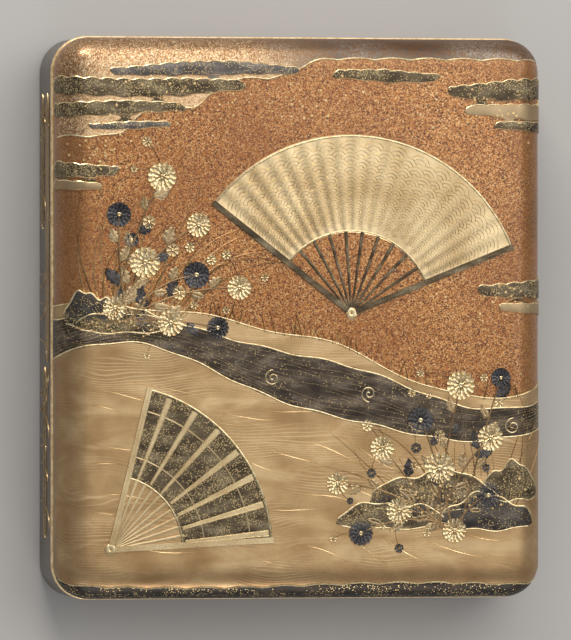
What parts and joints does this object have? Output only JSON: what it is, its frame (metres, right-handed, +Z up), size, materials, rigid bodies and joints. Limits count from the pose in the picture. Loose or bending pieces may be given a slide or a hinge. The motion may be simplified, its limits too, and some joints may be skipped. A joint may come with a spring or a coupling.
{
  "type": "writing box",
  "caption": "Shallow lacquered wooden box with a flush rounded lid and a gilt bead at the joint, fitted with trays, an inkstone, a water dropper and writing tools.",
  "frame": {"origin": "centre of the box's underside, on the surface that it stands on", "axes": "+Z up, +Y the long way of the box towards its back, +X the short way to the right"},
  "size_m": [0.222, 0.251, 0.0509],
  "materials": {
    "sprinkled_gold_lacquer": "orange gold sprinkled lacquer on wood, polished",
    "gilt_rim": "gilt, satin",
    "gold_inlay": "gold sheet, polished",
    "silver_inlay": "darkened silver, satin",
    "raised_gold_powder": "gold powder on raised lacquer, polished",
    "raised_silver_powder": "silver powder on raised lacquer, darkened, set with cut gold",
    "slate": "honed slate, matte",
    "aged_bronze": "aged bronze, satin",
    "black_lacquer": "black lacquer on wood, glossy",
    "bamboo": "bare bamboo, rubbed smooth",
    "brush_hair": "animal hair",
    "polished_steel": "forged steel, ground and polished",
    "ink": "pressed soot and glue, satin"
  },
  "bodies": {
    "base": {"base_box": "sprinkled_gold_lacquer", "base_rim": "gilt_rim"},
    "lid": {"lid": "sprinkled_gold_lacquer", "lid_rim": "gilt_rim", "gold_blossom_01": "gold_inlay", "gold_blossom_02": "gold_inlay", "gold_blossom_03": "gold_inlay", "gold_blossom_04": "gold_inlay", "gold_blossom_05": "gold_inlay", "gold_blossom_06": "gold_inlay", "gold_blossom_07": "gold_inlay", "gold_blossom_08": "gold_inlay", "gold_blossom_09": "gold_inlay", "gold_blossom_10": "gold_inlay", "gold_blossom_11": "gold_inlay", "gold_blossom_12": "gold_inlay", "gold_blossom_13": "gold_inlay", "silver_blossom_01": "silver_inlay", "silver_blossom_02": "silver_inlay", "silver_blossom_03": "silver_inlay", "silver_blossom_04": "silver_inlay", "silver_blossom_05": "silver_inlay", "silver_blossom_06": "silver_inlay", "silver_blossom_07": "silver_inlay", "great_fan": "raised_gold_powder", "striped_fan": "raised_silver_powder", "left_rocks": "raised_silver_powder", "right_rocks": "raised_silver_powder", "top_left_mist": "raised_silver_powder", "left_mist": "raised_silver_powder", "top_middle_mist": "raised_silver_powder", "top_right_mist": "raised_silver_powder", "right_mist": "raised_silver_powder"},
    "board": {"inkstone_board": "sprinkled_gold_lacquer"},
    "inkstone": {"inkstone": "slate"},
    "water_dropper": {"water_dropper": "aged_bronze"},
    "right_tray": {"right_tray": "sprinkled_gold_lacquer", "front_rest": "black_lacquer", "back_rest": "black_lacquer"},
    "brush_1": {"brush_1_handle": "bamboo", "brush_1_hair": "brush_hair"},
    "brush_1_cap": {"brush_1_cap": "bamboo"},
    "brush_2": {"brush_2_handle": "bamboo", "brush_2_hair": "brush_hair"},
    "brush_2_cap": {"brush_2_cap": "bamboo"},
    "knife": {"knife_handle": "black_lacquer", "knife_collar": "silver_inlay", "knife_blade": "polished_steel"},
    "awl": {"awl_handle": "black_lacquer", "awl_collar": "silver_inlay", "awl_spike": "polished_steel"},
    "left_tray": {"left_tray": "sprinkled_gold_lacquer"},
    "ink_stick": {"ink_stick": "ink"},
    "ink_holder": {"holder_left_arm": "bamboo", "holder_right_arm": "bamboo", "holder_tail_band": "aged_bronze"},
    "holder_ring": {"holder_ring": "aged_bronze"}
  },
  "joints": [
    {"name": "lid_lift", "type": "slide", "parent": "base", "child": "lid", "axis": [0, 0, 1], "range_m": [0, 0.18]},
    {"name": "board_lift", "type": "slide", "parent": "base", "child": "board", "axis": [0, 0, 1], "range_m": [0, 0.036]},
    {"name": "inkstone_lift", "type": "slide", "parent": "board", "child": "inkstone", "axis": [0, 0, 1], "range_m": [0, 0.027]},
    {"name": "dropper_lift", "type": "slide", "parent": "board", "child": "water_dropper", "axis": [0, 0, 1], "range_m": [0, 0.036]},
    {"name": "right_tray_lift", "type": "slide", "parent": "base", "child": "right_tray", "axis": [0, 0, 1], "range_m": [0, 0.09]},
    {"name": "left_tray_lift", "type": "slide", "parent": "base", "child": "left_tray", "axis": [0, 0, 1], "range_m": [0, 0.09]},
    {"name": "brush_1_lift", "type": "slide", "parent": "right_tray", "child": "brush_1", "axis": [0, 0, 1], "range_m": [0, 0.036]},
    {"name": "brush_2_lift", "type": "slide", "parent": "right_tray", "child": "brush_2", "axis": [0, 0, 1], "range_m": [0, 0.036]},
    {"name": "knife_lift", "type": "slide", "parent": "right_tray", "child": "knife", "axis": [0, 0, 1], "range_m": [0, 0.036]},
    {"name": "awl_lift", "type": "slide", "parent": "right_tray", "child": "awl", "axis": [0, 0, 1], "range_m": [0, 0.036]},
    {"name": "ink_stick_lift", "type": "slide", "parent": "left_tray", "child": "ink_stick", "axis": [0, 0, 1], "range_m": [0, 0.036]},
    {"name": "holder_lift", "type": "slide", "parent": "left_tray", "child": "ink_holder", "axis": [0, 0, 1], "range_m": [0, 0.036]},
    {"name": "brush_1_cap_pull", "type": "slide", "parent": "brush_1", "child": "brush_1_cap", "axis": [0, 1, 0], "range_m": [0, 0.042]},
    {"name": "brush_2_cap_pull", "type": "slide", "parent": "brush_2", "child": "brush_2_cap", "axis": [0, 1, 0], "range_m": [0, 0.042]},
    {"name": "holder_ring_slide", "type": "slide", "parent": "ink_holder", "child": "holder_ring", "axis": [0, 1, 0], "range_m": [-0.08, 0.007]}
  ],
  "couplings": [
    {"joint": "board_lift", "follows": "lid_lift", "ratio": 0.2},
    {"joint": "inkstone_lift", "follows": "lid_lift", "ratio": 0.15},
    {"joint": "dropper_lift", "follows": "lid_lift", "ratio": 0.2},
    {"joint": "right_tray_lift", "follows": "lid_lift", "ratio": 0.5},
    {"joint": "left_tray_lift", "follows": "lid_lift", "ratio": 0.5},
    {"joint": "brush_1_lift", "follows": "lid_lift", "ratio": 0.2},
    {"joint": "brush_2_lift", "follows": "lid_lift", "ratio": 0.2},
    {"joint": "knife_lift", "follows": "lid_lift", "ratio": 0.2},
    {"joint": "awl_lift", "follows": "lid_lift", "ratio": 0.2},
    {"joint": "ink_stick_lift", "follows": "lid_lift", "ratio": 0.2},
    {"joint": "holder_lift", "follows": "lid_lift", "ratio": 0.2}
  ]
}
